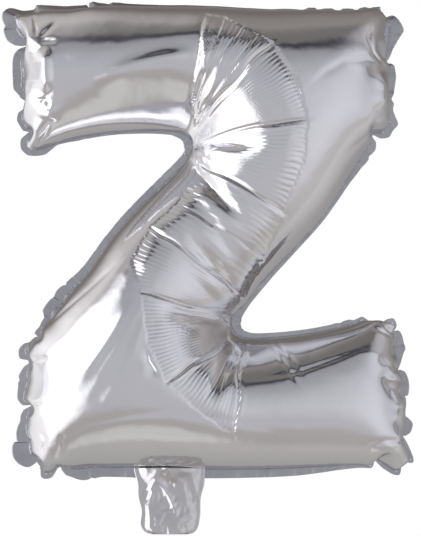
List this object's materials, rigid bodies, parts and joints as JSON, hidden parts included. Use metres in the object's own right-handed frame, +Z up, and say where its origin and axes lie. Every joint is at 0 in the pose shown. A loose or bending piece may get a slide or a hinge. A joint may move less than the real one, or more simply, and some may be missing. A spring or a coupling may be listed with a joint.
{
  "type": "letter foil balloon",
  "caption": "Filled silver foil balloon shaped like the letter Z, with a flat welded edge all round and a short filling neck under its bottom bar.",
  "frame": {"origin": "middle of the filled letter on the plane of the edge weld, close to its centre of buoyancy, where the air holds it", "axes": "+Z up along the letter's height, +X to the reader's right, front of the letter towards -Y"},
  "size_m": [0.2989, 0.116, 0.3948],
  "materials": {
    "foil_silver": "bright metallised film with fine creases",
    "foil_weld": "metallised film, flat and slightly duller at the weld",
    "valve_clear": "thin clear film"
  },
  "bodies": {
    "root": {"front_foil_panel": "foil_silver", "back_foil_panel": "foil_silver", "edge_weld_flange": "foil_weld", "neck_front_film": "foil_silver", "neck_back_film": "foil_silver", "valve_film": "valve_clear"}
  },
  "joints": []
}
